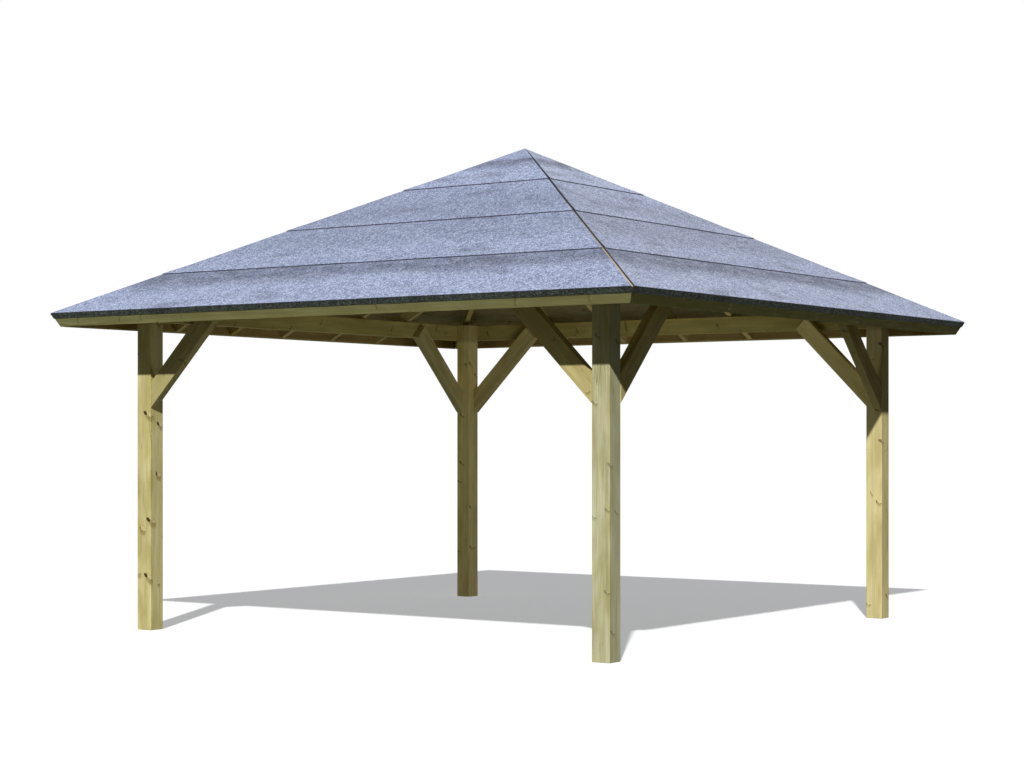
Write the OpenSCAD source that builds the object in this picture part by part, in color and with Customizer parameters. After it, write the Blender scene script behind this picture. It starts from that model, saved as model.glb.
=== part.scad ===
// Square garden gazebo: an open timber frame under a felted hip roof.
// Millimetres, +Z up. The origin is on the ground under the apex, and the front side faces -Y.

/* [Posts] */
// Side of the square posts
post_w = 120; // [100:1:150]
// Distance between the centre lines of neighbouring posts
post_spacing = 3600; // [3000:10:4200]
// Height of the posts, which is also the height of the beams' top edges
post_h = 2180; // [1900:10:2500]
// Radius of the eased arrises of the posts
post_ease_r = 5; // [2:0.5:12]

/* [Beams] */
// Thickness of the beams, which lie on the posts' outer faces
beam_t = 60; // [45:1:80]
// Height of the beams
beam_h = 120; // [90:1:160]

/* [Braces] */
// Width of the braces across their wide face
brace_w = 120; // [80:1:140]
// Thickness of the braces, which are flush with the posts' outer faces
brace_t = 60; // [40:1:80]
// Horizontal reach of the braces' lower edges from the post
brace_reach = 590; // [450:5:700]
// Slope of the braces from level, in degrees
brace_angle = 45; // [40:1:50]
// Height of the beams' top edges over the braces' upper corners
brace_top_drop = 30; // [5:1:45]

/* [Roof frame] */
// Slope of the roof from level, in degrees
roof_pitch = 27.25; // [22:0.25:32]
// Horizontal overhang of the felt's edge past the beams' outer faces
eaves_overhang = 345; // [200:5:450]
// Length of the level seat that each rafter has on its beam
seat_run = 30; // [15:1:45]
// Width of the rafters
rafter_w = 40; // [30:1:60]
// Depth of the rafters, square to the slope
rafter_h = 80; // [60:1:120]
// Distance between the centre lines of neighbouring rafters
rafter_spacing = 562.5; // [450:12.5:575]
// Number of jack rafters on each side of a middle rafter
jack_count = 2; // [1:1:3]
// Width of the hip rafters
hip_w = 40; // [30:1:60]
// Drop of the apex block below the rafters that meet it
apex_block_drop = 40; // [10:1:90]

/* [Eaves] */
// Thickness of the fascia boards
fascia_t = 22; // [16:1:28]
// Height of the fascia boards, square to the slope
fascia_h = 80; // [60:1:100]
// Height of the dark felt skirt, measured down from the felt's top
skirt_h = 40; // [30:1:60]
// Thickness of the felt skirt
skirt_t = 3; // [2:0.5:6]

/* [Roof covering] */
// Thickness of the roof boarding
deck_t = 19; // [12:1:28]
// Thickness of the felt's two bonded layers
felt_t = 6; // [3:0.5:10]
// Step of the felt's top at each lap
felt_lap_t = 4; // [2:0.5:6]
// Distance up the slope from the eaves to the first lap
felt_first = 583; // [450:1:700]
// Distance up the slope from one lap to the next
felt_exposure = 653; // [500:1:800]
// Shortest course of felt that is left under the apex
felt_top_min = 300; // [100:10:450]

/* [Colours] */
// Colour of the pressure-treated timber
pine_colour = "#b3ab7c"; // ["#b3ab7c", "#c9b98c"]
// Colour of the roof boarding
board_colour = "#8d7850"; // ["#8d7850", "#a88f62"]
// Colour of the mineral felt
felt_colour = "#9fa8c6"; // ["#9fa8c6", "#7d8a7a"]
// Colour of the felt skirt
skirt_colour = "#363d3b"; // ["#363d3b", "#2a2d33"]

/* [Hidden] */
// Reach of the cutting shapes past the surfaces that they cut
overrun = 10;
// Room that a face of the apex block leaves beside the rafter that meets it
apex_face_margin = 1;
// Number of sides of the apex block, one for each hip and each middle rafter
apex_sides = 8;
// Number of sides of the building
side_count = 4;
// Turn from one side of the building to the next
quarter = 360 / side_count;
// Smoothness of the eased arrises
$fn = 48;

// Half widths of the frame, from the middle to the posts' centres and the outer faces
post_r = post_spacing / 2;
frame_r = post_r + post_w / 2;
beam_r = frame_r + beam_t;
roof_r = beam_r + eaves_overhang;

// The rafters' undersides cross the beams' top edges at this distance from the middle
seat_r = beam_r - seat_run;

// Levels above the rafters' undersides, square to the slope
deck_n = rafter_h;
felt_n = deck_n + deck_t;
top_n = felt_n + felt_t;

// Distances down the slope from the rafters' seats: the skirt hangs on the fascia, flush with the boarding
edge_s = (roof_r - seat_r - top_n * sin(roof_pitch)) / cos(roof_pitch);
fascia_s = edge_s - skirt_t;
tail_s = fascia_s - fascia_t;

// A point of a side's section, as [distance from the middle, height], from its place on the slope
function slope_point(s, n) = [
    seat_r + s * cos(roof_pitch) + n * sin(roof_pitch),
    post_h - s * sin(roof_pitch) + n * cos(roof_pitch)
];

// Height of a level of the slope at a distance from the middle
function slope_z(r, n) = post_h + (seat_r - r) * tan(roof_pitch) + n / cos(roof_pitch);

// Length of the felt's slope, along the underside of the boarding from its edge to the apex
felt_length = slope_point(edge_s, deck_n)[0] / cos(roof_pitch);
felt_laps = [for (u = felt_first; u + felt_top_min < felt_length; u = u + felt_exposure) u];

// The apex block has a face for each hip and each middle rafter
apex_w = (max(rafter_w, hip_w) + 2 * apex_face_margin) / tan(180 / apex_sides);
apex_r = apex_w / 2;
apex_z = slope_z(0, top_n);

// The braces run from the posts' side faces up onto the beams' inner faces
brace_rise = brace_reach * tan(brace_angle);
brace_foot_z = post_h - brace_top_drop - brace_w * cos(brace_angle) - brace_rise;
brace_foot_r = post_r - post_w / 2;

sides = ["front", "right", "back", "left"];
corners = ["front_right", "back_right", "back_left", "front_left"];

// A brace is named for its side and for the side round the corner that it is next to
function brace_place(i, end) = str(sides[i], "_", sides[(i + end + side_count) % side_count]);

function named(kind, places) = [for (place = places) str(kind, "_", place)];

// Turns what is drawn for the front side to side i
module to_side(i) {
    rotate([0, 0, quarter * i])
        children();
}

// Draws a section, given as [distance from the middle, height], at the front side and along X
module along_eaves(length) {
    rotate([90, 0, -90])
        linear_extrude(height = length, center = true)
            children();
}

// Lays a shape on the underside of the front boarding: X along the eaves, Y up the slope, Z square to it
module on_slope(s) {
    start = slope_point(s, deck_n);
    translate([0, -start[0], start[1]])
        rotate([roof_pitch, 0, 0])
            children();
}

// All that lies on the inner side of a plane square to the front slope
module inside_of(s) {
    on_slope(s)
        translate([-2 * roof_r, 0, -2 * roof_r])
            cube([4 * roof_r, 4 * roof_r, 4 * roof_r]);
}

// The ground plan of the front side between the facing cheeks of its two hips
module between_hips() {
    tip = hip_w / sqrt(2);
    reach = roof_r + overrun;
    linear_extrude(height = apex_z + overrun)
        polygon([[0, -tip], [-reach, -reach - tip], [reach, -reach - tip]]);
}

// All that lies under the roof boarding
module under_deck() {
    section = [
        [-roof_r, 0],
        [roof_r, 0],
        [roof_r, slope_z(roof_r, deck_n)],
        [0, slope_z(0, deck_n)],
        [-roof_r, slope_z(roof_r, deck_n)]
    ];
    intersection_for (i = [0, 1])
        to_side(i)
            along_eaves(2 * roof_r)
                polygon(section);
}

// The triangle that one side's boarding and felt are cut to, square to the slope
module hip_triangle(s, height) {
    half = slope_point(s, deck_n)[0];
    linear_extrude(height = height)
        polygon([[-half, 0], [half, 0], [0, half / cos(roof_pitch)]]);
}

module post(i) {
    core = post_w - 2 * post_ease_r;
    color(pine_colour)
        to_side(i)
            translate([post_r, -post_r, 0])
                linear_extrude(height = post_h) {
                    square([post_w, core], center = true);
                    square([core, post_w], center = true);
                    for (x = [-1, 1])
                        for (y = [-1, 1])
                            translate([x * core / 2, y * core / 2])
                                circle(r = post_ease_r);
                }
}

// The front and back beams run past the ends of the side beams
module beam(i) {
    half = i % 2 == 0 ? beam_r : frame_r;
    color(pine_colour)
        to_side(i)
            translate([-half, -beam_r, post_h - beam_h])
                cube([2 * half, beam_t, beam_h]);
}

// A knee brace with a foot mitred to the post and a square upper end on the beam
module brace(i, end) {
    lower_end = [brace_foot_r - brace_reach, brace_foot_z + brace_rise];
    upper_end = lower_end + brace_w * [sin(brace_angle), cos(brace_angle)];
    upper_foot = [brace_foot_r, brace_foot_z + brace_w / cos(brace_angle)];
    color(pine_colour)
        to_side(i)
            mirror([end < 0 ? 1 : 0, 0, 0])
                translate([0, brace_t - frame_r, 0])
                    rotate([90, 0, 0])
                        linear_extrude(height = brace_t)
                            polygon([[brace_foot_r, brace_foot_z], lower_end, upper_end, upper_foot]);
}

// A hip rafter, backed to both slopes, seated over the beams' corner and ended in the fascia's corner
module hip(i) {
    half_diagonal = roof_r * sqrt(2);
    function underside(d) = slope_z((d + hip_w / 2) / sqrt(2), 0);
    color(pine_colour)
        to_side(i)
            difference() {
                intersection() {
                    rotate([0, 0, quarter / 2])
                        along_eaves(hip_w)
                            polygon([
                                [apex_r, underside(apex_r)],
                                [half_diagonal, underside(half_diagonal)],
                                [half_diagonal, apex_z],
                                [apex_r, apex_z]
                            ]);
                    under_deck();
                    inside_of(tail_s);
                    to_side(1)
                        inside_of(tail_s);
                }
                translate([-beam_r, -beam_r, 0])
                    cube([2 * beam_r, 2 * beam_r, post_h]);
            }
}

// A middle rafter and its jacks, with level seats on the beam and cheeks cut to the hips
module rafters(i) {
    section = [
        [apex_r, slope_z(apex_r, 0)],
        [seat_r, post_h],
        [beam_r, post_h],
        [beam_r, slope_z(beam_r, 0)],
        slope_point(tail_s, 0),
        slope_point(tail_s, rafter_h),
        [apex_r, slope_z(apex_r, rafter_h)]
    ];
    color(pine_colour)
        to_side(i)
            for (k = [-jack_count:jack_count])
                intersection() {
                    translate([k * rafter_spacing, 0, 0])
                        along_eaves(rafter_w)
                            polygon(section);
                    between_hips();
                }
}

// The eight-sided block that the hips and the middle rafters meet at
module apex_block() {
    foot_z = slope_z(apex_r, 0) - apex_block_drop;
    color(pine_colour)
        intersection() {
            translate([0, 0, foot_z])
                rotate([0, 0, 180 / apex_sides])
                    cylinder(d = apex_w / cos(180 / apex_sides), h = apex_z - foot_z, $fn = apex_sides);
            under_deck();
        }
}

// A fascia board square to the slope: the front and back ones run past the ends of the side ones
module fascia(i) {
    end_s = i % 2 == 0 ? fascia_s : tail_s;
    color(pine_colour)
        to_side(i)
            intersection() {
                on_slope(fascia_s)
                    translate([-roof_r, 0, -fascia_h])
                        cube([2 * roof_r, fascia_t, fascia_h]);
                to_side(1)
                    inside_of(end_s);
                to_side(-1)
                    inside_of(end_s);
            }
}

// The boarding of one side, cut square along the hips, which leaves an open joint there
module deck(i) {
    color(board_colour)
        to_side(i)
            on_slope(fascia_s)
                hip_triangle(fascia_s, deck_t);
}

// The felt of one side, in courses that each lap over the one below
module felt(i) {
    top = deck_t + felt_t;
    lap_steps = [for (u = felt_laps) each [[u, top], [u, top + felt_lap_t]]];
    section = concat([[0, deck_t], [0, top]], lap_steps, [[felt_length, top], [felt_length, deck_t]]);
    color(felt_colour)
        to_side(i)
            on_slope(edge_s)
                intersection() {
                    hip_triangle(edge_s, top + felt_lap_t + overrun);
                    rotate([90, 0, 90])
                        linear_extrude(height = 2 * roof_r, center = true)
                            polygon(section);
                }
}

// The skirt of dark felt over the edge of the boarding: the front and back ones lap past the side ones
module skirt(i) {
    end_s = i % 2 == 0 ? edge_s : fascia_s;
    color(skirt_colour)
        to_side(i)
            intersection() {
                on_slope(edge_s)
                    translate([-roof_r, 0, deck_t + felt_t - skirt_h])
                        cube([2 * roof_r, skirt_t, skirt_h - felt_t]);
                to_side(1)
                    inside_of(end_s);
                to_side(-1)
                    inside_of(end_s);
            }
}

for (i = [0:side_count - 1]) {
    post(i);
    beam(i);
    for (end = [-1, 1])
        brace(i, end);
    hip(i);
    rafters(i);
    fascia(i);
    deck(i);
    felt(i);
    skirt(i);
}
apex_block();
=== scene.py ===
"""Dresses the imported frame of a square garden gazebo: timber, roof boarding, mineral felt and screws.

Lengths are in metres, in the frame's own axes: +Z is up and the front side faces -Y.
"""

import itertools
import logging
import math
import random
from dataclasses import dataclass, field, replace
from enum import Enum
from typing import Any, Callable, Iterable, Iterator

import bmesh
import bpy
from mathutils import Matrix, Vector, noise

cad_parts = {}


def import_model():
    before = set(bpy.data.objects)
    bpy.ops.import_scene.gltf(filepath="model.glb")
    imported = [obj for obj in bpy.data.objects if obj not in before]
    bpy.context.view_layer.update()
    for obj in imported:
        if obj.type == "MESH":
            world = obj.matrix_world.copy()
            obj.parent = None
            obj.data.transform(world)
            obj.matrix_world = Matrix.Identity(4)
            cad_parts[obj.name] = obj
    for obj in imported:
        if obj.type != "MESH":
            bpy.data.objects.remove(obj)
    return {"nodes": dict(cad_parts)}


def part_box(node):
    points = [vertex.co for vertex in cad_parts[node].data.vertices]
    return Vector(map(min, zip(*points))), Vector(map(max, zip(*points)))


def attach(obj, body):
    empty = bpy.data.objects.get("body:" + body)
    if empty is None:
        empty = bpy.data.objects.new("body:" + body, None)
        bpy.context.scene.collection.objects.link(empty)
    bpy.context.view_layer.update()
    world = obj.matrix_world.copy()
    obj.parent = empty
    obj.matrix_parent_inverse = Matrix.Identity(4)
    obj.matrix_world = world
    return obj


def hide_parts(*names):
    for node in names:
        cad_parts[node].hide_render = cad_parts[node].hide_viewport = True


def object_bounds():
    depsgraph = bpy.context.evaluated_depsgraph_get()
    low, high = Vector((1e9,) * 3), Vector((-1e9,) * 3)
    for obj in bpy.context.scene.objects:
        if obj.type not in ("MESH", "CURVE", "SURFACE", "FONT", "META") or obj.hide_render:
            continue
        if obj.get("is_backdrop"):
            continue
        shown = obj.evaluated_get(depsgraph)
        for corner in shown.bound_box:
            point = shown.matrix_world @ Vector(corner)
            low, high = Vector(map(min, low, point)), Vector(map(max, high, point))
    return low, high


LOG = logging.getLogger("gazebo")
BODY = "root"
MERGE_DISTANCE = 1e-5
FLAT_ANGLE = math.radians(0.5)
SHARP_ANGLE = math.radians(32)
END_ANGLE = math.radians(50)
FLAT_TO_STRIP = 6.0
FACING = 0.5
EASED_FACETS = 2
NEAREST_PITH = 0.3
TREE_LENGTH = 90.0
NOISE_RANGE = (0.3, 0.7)

Span = tuple[float, float]
Triple = tuple[float, float, float]
Tint = tuple[float, float, float]
Colour = tuple[float, float, float, float]
BMesh = bmesh.types.BMesh
Verts = list[bmesh.types.BMVert]
Object = bpy.types.Object
Material = bpy.types.Material
NodeTree = bpy.types.NodeTree
Node = bpy.types.Node
Socket = bpy.types.NodeSocket

WHITE: Colour = (1.0, 1.0, 1.0, 1.0)
BLACK: Colour = (0.0, 0.0, 0.0, 1.0)


def screen(red: int, green: int, blue: int) -> Colour:
    """Gives a colour as scene-linear values.

    Args:
        red: Screen value from 0 to 255.
        green: Screen value from 0 to 255.
        blue: Screen value from 0 to 255.

    Returns:
        The linear colour, with an alpha of 1.
    """
    shares = [value / 255 for value in (red, green, blue)]
    return (*[s / 12.92 if s <= 0.04045 else ((s + 0.055) / 1.055) ** 2.4 for s in shares], 1.0)


class Quarter(Enum):
    """A place round the building, numbered by quarter turns."""

    @property
    def word(self) -> str:
        """The place's name as the frame's nodes spell it."""
        return self.name.lower()

    @property
    def turn(self) -> Matrix:
        """The turn that brings the first place to this one."""
        return Matrix.Rotation(self.value * math.pi / 2, 4, "Z")


class Side(Quarter):
    """A side of the building, numbered from the front."""

    FRONT = 0
    RIGHT = 1
    BACK = 2
    LEFT = 3

    def beside(self, steps: int) -> "Side":
        """The side that lies so many quarter turns on from this one."""
        return Side((self.value + steps) % len(Side))


class Corner(Quarter):
    """A corner of the building, numbered from the front right one."""

    FRONT_RIGHT = 0
    BACK_RIGHT = 1
    BACK_LEFT = 2
    FRONT_LEFT = 3


class Slot(Enum):
    """Names for the finishes' material slots."""

    PINE = "pine"
    BOARDS = "roof_boards"
    FELT = "felt"
    SKIRT = "felt_skirt"


class NodeBench:
    """Adds nodes to one tree and links them as they are added."""

    def __init__(self, tree: NodeTree) -> None:
        """Works on the given tree."""
        self.tree = tree

    def add(self, kind: str, inputs: dict[Any, Any] | None = None, **settings: Any) -> Node:
        """Adds a node.

        Args:
            kind: The node's type name.
            inputs: Sockets to link from, or values, by the input's name or number.
            settings: The node's own properties.

        Returns:
            The new node.
        """
        made = self.tree.nodes.new(kind)
        for name, value in settings.items():
            setattr(made, name, value)
        for name, value in (inputs or {}).items():
            if isinstance(value, Socket):
                self.tree.links.new(value, made.inputs[name])
            else:
                made.inputs[name].default_value = value
        return made

    def sums(self, operation: str, *terms: Any) -> Socket:
        """The result of a Math node on one to three terms."""
        return self.add("ShaderNodeMath", dict(enumerate(terms)), operation=operation).outputs[0]

    def step(self, value: Socket, low: float, high: float, start: float = 0.0, end: float = 1.0) -> Socket:
        """A smooth step from start to end, as value goes from low to high."""
        inputs = {"Value": value, "From Min": low, "From Max": high, "To Min": start, "To Max": end}
        return self.add("ShaderNodeMapRange", inputs, interpolation_type="SMOOTHSTEP").outputs["Result"]

    def scaled(self, vector: Socket, factors: Triple) -> Socket:
        """A vector with each of its parts multiplied."""
        return self.arrow("MULTIPLY", vector, factors).outputs[0]

    def arrow(self, operation: str, *terms: Any) -> Node:
        """A Vector Math node on one or two terms."""
        return self.add("ShaderNodeVectorMath", dict(enumerate(terms)), operation=operation)

    def noise(self, vector: Socket, detail: float = 3.0, rough: float = 0.5, scale: float = 1.0) -> Node:
        """A noise texture, one cycle a unit of its vector unless scaled."""
        inputs = {"Vector": vector, "Scale": scale, "Detail": detail, "Roughness": rough}
        return self.add("ShaderNodeTexNoise", inputs)

    def cloud(self, vector: Socket, factors: Triple, detail: float = 3.0) -> Socket:
        """Noise about one half, with its own number of cycles a metre along each part of the vector."""
        return self.noise(self.scaled(vector, factors), detail).outputs["Fac"]

    def blend(self, share: Any, under: Any, over: Any, way: str = "MIX") -> Socket:
        """Two colours mixed by a share."""
        made = self.add("ShaderNodeMix", {0: share, 6: under, 7: over}, data_type="RGBA", blend_type=way)
        return made.outputs[2]

    def parts(self, vector: Socket) -> Iterable[Socket]:
        """The three parts of a vector."""
        return self.add("ShaderNodeSeparateXYZ", {0: vector}).outputs

    def attribute(self, name: str) -> Node:
        """One of the piece's own mesh attributes."""
        return self.add("ShaderNodeAttribute", attribute_name=name, attribute_type="GEOMETRY")

    def bump(self, height: Socket, strength: float, distance: float) -> Socket:
        """A normal that follows a height."""
        inputs = {"Height": height, "Strength": strength, "Distance": distance}
        return self.add("ShaderNodeBump", inputs).outputs["Normal"]


def new_group(name: str, inputs: dict[str, str], outputs: Iterable[str]) -> NodeBench:
    """Starts a shared shader node group.

    Args:
        name: The group's name.
        inputs: Socket types by input name.
        outputs: Names of the outputs, which are all floats.

    Returns:
        A bench on the empty group.
    """
    tree = bpy.data.node_groups.new(name, "ShaderNodeTree")
    for title, kind in inputs.items():
        tree.interface.new_socket(title, in_out="INPUT", socket_type=kind)
    for title in outputs:
        tree.interface.new_socket(title, in_out="OUTPUT", socket_type="NodeSocketFloat")
    return NodeBench(tree)


def new_material(name: str) -> tuple[Material, NodeBench, Node]:
    """Starts a material.

    Args:
        name: The material's name.

    Returns:
        The material, a bench on its tree and its Principled BSDF.
    """
    material = bpy.data.materials.new(name)
    material.use_nodes = True
    bench = NodeBench(material.node_tree)
    return material, bench, material.node_tree.nodes["Principled BSDF"]


@dataclass(frozen=True)
class TimberGrain:
    """The figure of sawn softwood, read from coordinates across, across and along the stick from the pith.

    Cycles are counted a metre along each of those coordinates.
    """

    ring_width: float = 0.0052
    late_rings: Span = (0.4, 0.96)
    heart_radius: float = 0.062
    heart_fade: float = 0.026
    drift: float = 0.016
    branches: int = 6
    whorl_gap: float = 0.36
    whorl_scatter: float = 0.7
    branch_picks: Span = (0.35, 0.9)
    knot_half_width: float = 0.026
    least_knot: Span = (0.2, 0.3)
    knot_edge: float = 0.005
    knot_slant: float = -0.5
    bark_radius: float = 0.01
    bark_shares: Span = (0.2, 0.9)
    faint_bark: float = 0.25
    lopsided: float = 0.22
    core_lift: float = 0.005
    core_squash: float = 1.8
    stain_drop: float = 0.01
    halo_reach: float = 1.7
    halo_swell: float = 0.006
    cast_range: Span = (0.36, 0.66)
    check_range: Span = (0.56, 0.66)
    check_half_width: float = 0.007
    wander_cycles: Triple = (5.0, 5.0, 0.8)
    ring_cycles: Triple = (14.0, 14.0, 2.0)
    streak_cycles: Triple = (40.0, 40.0, 2.4)
    cast_cycles: Triple = (11.0, 11.0, 3.6)
    fibre_cycles: Triple = (420.0, 420.0, 7.0)
    seam_cycles: Triple = (18.0, 18.0, 0.5)
    check_cycles: Triple = (4.0, 4.0, 1.2)
    late_height: float = 0.5
    check_height: float = -2.5
    core_height: float = 0.6

    def knots(self, bench: NodeBench, bent: Socket, share: Socket) -> tuple[Socket, Socket, Socket]:
        """Sets branches in whorls round the pith.

        Args:
            bench: The group's bench.
            bent: Coordinates from the pith.
            share: What the knots' size is multiplied by.

        Returns:
            Masks of the dark bark at a knot's sides, of its pale core and of the stained wood round it.
        """
        flat = bench.scaled(bent, (1.0, 1.0, 0.0))
        around = self.branches / (2 * math.pi)
        ring = bench.scaled(bench.arrow("NORMALIZE", flat).outputs[0], (around, around, 0.0))
        level = bench.scaled(bent, (0.0, 0.0, 1 / self.whorl_gap))
        cells = bench.arrow("ADD", ring, level).outputs[0]
        settings = {"Vector": cells, "Scale": 1.0, "Randomness": self.whorl_scatter}
        cell = bench.add("ShaderNodeTexVoronoi", settings).outputs
        pick = bench.add("ShaderNodeSeparateColor", {0: cell["Color"]}).outputs[0]
        size = bench.sums("MULTIPLY", bench.step(pick, *self.branch_picks, 0.0, self.knot_half_width), share)
        present = bench.step(size, *[part * self.knot_half_width for part in self.least_knot])
        branch = bench.arrow("NORMALIZE", bench.scaled(cell["Position"], (1.0, 1.0, 0.0))).outputs[0]
        aside = bench.parts(bench.arrow("CROSS_PRODUCT", flat, branch).outputs[0])[2]
        above = bench.parts(bench.arrow("SUBTRACT", cells, cell["Position"]).outputs[0])[2]
        slanted = bench.sums("MULTIPLY", aside, self.knot_slant)
        rise = bench.sums("MULTIPLY_ADD", above, self.whorl_gap, slanted)

        def within(limit: Any, wide: Any, tall: Socket, fade: float) -> Socket:
            """Masks the places less than a limit away.

            Args:
                limit: The distance at which the mask ends.
                wide: Distance aside.
                tall: Distance up.
                fade: How far inside the limit the mask is full.

            Returns:
                The mask.
            """
            away = bench.add("ShaderNodeCombineXYZ", {0: wide, 1: tall}).outputs[0]
            away = bench.arrow("LENGTH", away).outputs["Value"]
            return bench.step(bench.sums("SUBTRACT", limit, away), 0.0, fade)

        tip = bench.sums("SUBTRACT", bench.sums("ABSOLUTE", aside), size)
        spot = bench.sums("MULTIPLY_ADD", aside, self.lopsided, self.bark_radius)
        bark = within(spot, tip, rise, self.bark_radius / 2)
        lifted = bench.sums("MULTIPLY", bench.sums("SUBTRACT", rise, self.core_lift), self.core_squash)
        core = within(size, aside, lifted, self.knot_edge)
        dropped = bench.sums("ADD", rise, self.stain_drop)
        halo = within(bench.sums("MULTIPLY", size, self.halo_reach), aside, dropped, self.knot_half_width)
        present = bench.sums("MULTIPLY", present, bench.step(share, *self.bark_shares, self.faint_bark, 1.0))
        return bench.sums("MULTIPLY", bark, present), core, halo

    def tree(self) -> NodeTree:
        """Builds the node group.

        Returns:
            A group with masks of streaks, slow tones, heartwood, latewood, knots and checks, and a height.
        """
        outputs = ("Streak", "Cast", "Heart", "Late", "Bark", "Core", "Halo", "Check", "Height")
        inputs = {"Grain": "NodeSocketVector", "Knots": "NodeSocketFloat"}
        bench = new_group("timber_grain", inputs, outputs)
        given = bench.add("NodeGroupInput").outputs
        grain = given["Grain"]
        wander = bench.noise(bench.scaled(grain, self.wander_cycles), 2.0).outputs["Color"]
        wander = bench.arrow("SUBTRACT", wander, (0.5, 0.5, 0.5)).outputs[0]
        wander = bench.scaled(wander, (2 * self.drift, 2 * self.drift, 0.0))
        bent = bench.arrow("ADD", grain, wander).outputs[0]
        bark, core, halo = self.knots(bench, bent, given["Knots"])

        ring_place = bench.arrow("LENGTH", bench.scaled(bent, (1.0, 1.0, 0.0))).outputs["Value"]
        from_pith = bench.sums("MULTIPLY_ADD", halo, self.halo_swell, ring_place)
        heart = bench.step(from_pith, self.heart_radius, self.heart_radius + self.heart_fade, 1.0, 0.0)
        turns = bench.sums("DIVIDE", from_pith, self.ring_width)
        turns = bench.sums("ADD", turns, bench.cloud(grain, self.ring_cycles, 2.0))
        late = bench.step(bench.sums("FRACT", turns), *self.late_rings)

        streak = bench.step(bench.cloud(bent, self.streak_cycles, 5.0), *NOISE_RANGE)
        cast = bench.step(bench.cloud(grain, self.cast_cycles), *self.cast_range)
        fibre = bench.cloud(grain, self.fibre_cycles, 2.0)
        seam = bench.cloud(bent, self.seam_cycles, 1.0)
        seam = bench.sums("ABSOLUTE", bench.sums("SUBTRACT", seam, 0.5))
        open_here = bench.step(bench.cloud(grain, self.check_cycles, 1.0), *self.check_range)
        check = bench.sums("MULTIPLY", bench.step(seam, 0.0, self.check_half_width, 1.0, 0.0), open_here)

        height = bench.sums("MULTIPLY_ADD", late, self.late_height, fibre)
        height = bench.sums("MULTIPLY_ADD", check, self.check_height, height)
        height = bench.sums("MULTIPLY_ADD", core, self.core_height, height)
        values = (streak, cast, heart, late, bark, core, halo, check, height)
        bench.add("NodeGroupOutput", dict(zip(outputs, values)))
        return bench.tree


@dataclass(frozen=True)
class Granules:
    """Crushed slate bedded in felt, read from coordinates in the plane of the sheet."""

    clumps_per_metre: float = 140.0
    blotches_per_metre: float = 48.0
    blotch_share: float = 0.18
    grains_per_metre: float = 480.0

    def tree(self) -> NodeTree:
        """Builds the node group.

        Returns:
            A group with a speckle of clumped granules, a value for each granule and a height.
        """
        outputs = ("Speckle", "Grit", "Height")
        bench = new_group("slate_granules", {"Place": "NodeSocketVector"}, outputs)
        place = bench.add("NodeGroupInput").outputs["Place"]

        def cells(per_metre: float) -> tuple[Socket, Socket]:
            """Scatters cells over the sheet.

            Args:
                per_metre: Cells a metre.

            Returns:
                A value for each cell, and the distance from the cell's middle.
            """
            settings = {"Vector": place, "Scale": per_metre}
            made = bench.add("ShaderNodeTexVoronoi", settings, voronoi_dimensions="2D").outputs
            return bench.add("ShaderNodeSeparateColor", {0: made["Color"]}).outputs[0], made["Distance"]

        clump = bench.sums("MULTIPLY", cells(self.clumps_per_metre)[0], 1 - self.blotch_share)
        speckle = bench.sums("MULTIPLY_ADD", cells(self.blotches_per_metre)[0], self.blotch_share, clump)
        grit, from_middle = cells(self.grains_per_metre)
        height = bench.sums("MULTIPLY_ADD", from_middle, -1.0, bench.sums("ADD", grit, speckle))
        bench.add("NodeGroupOutput", dict(zip(outputs, (speckle, grit, height))))
        return bench.tree


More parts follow.
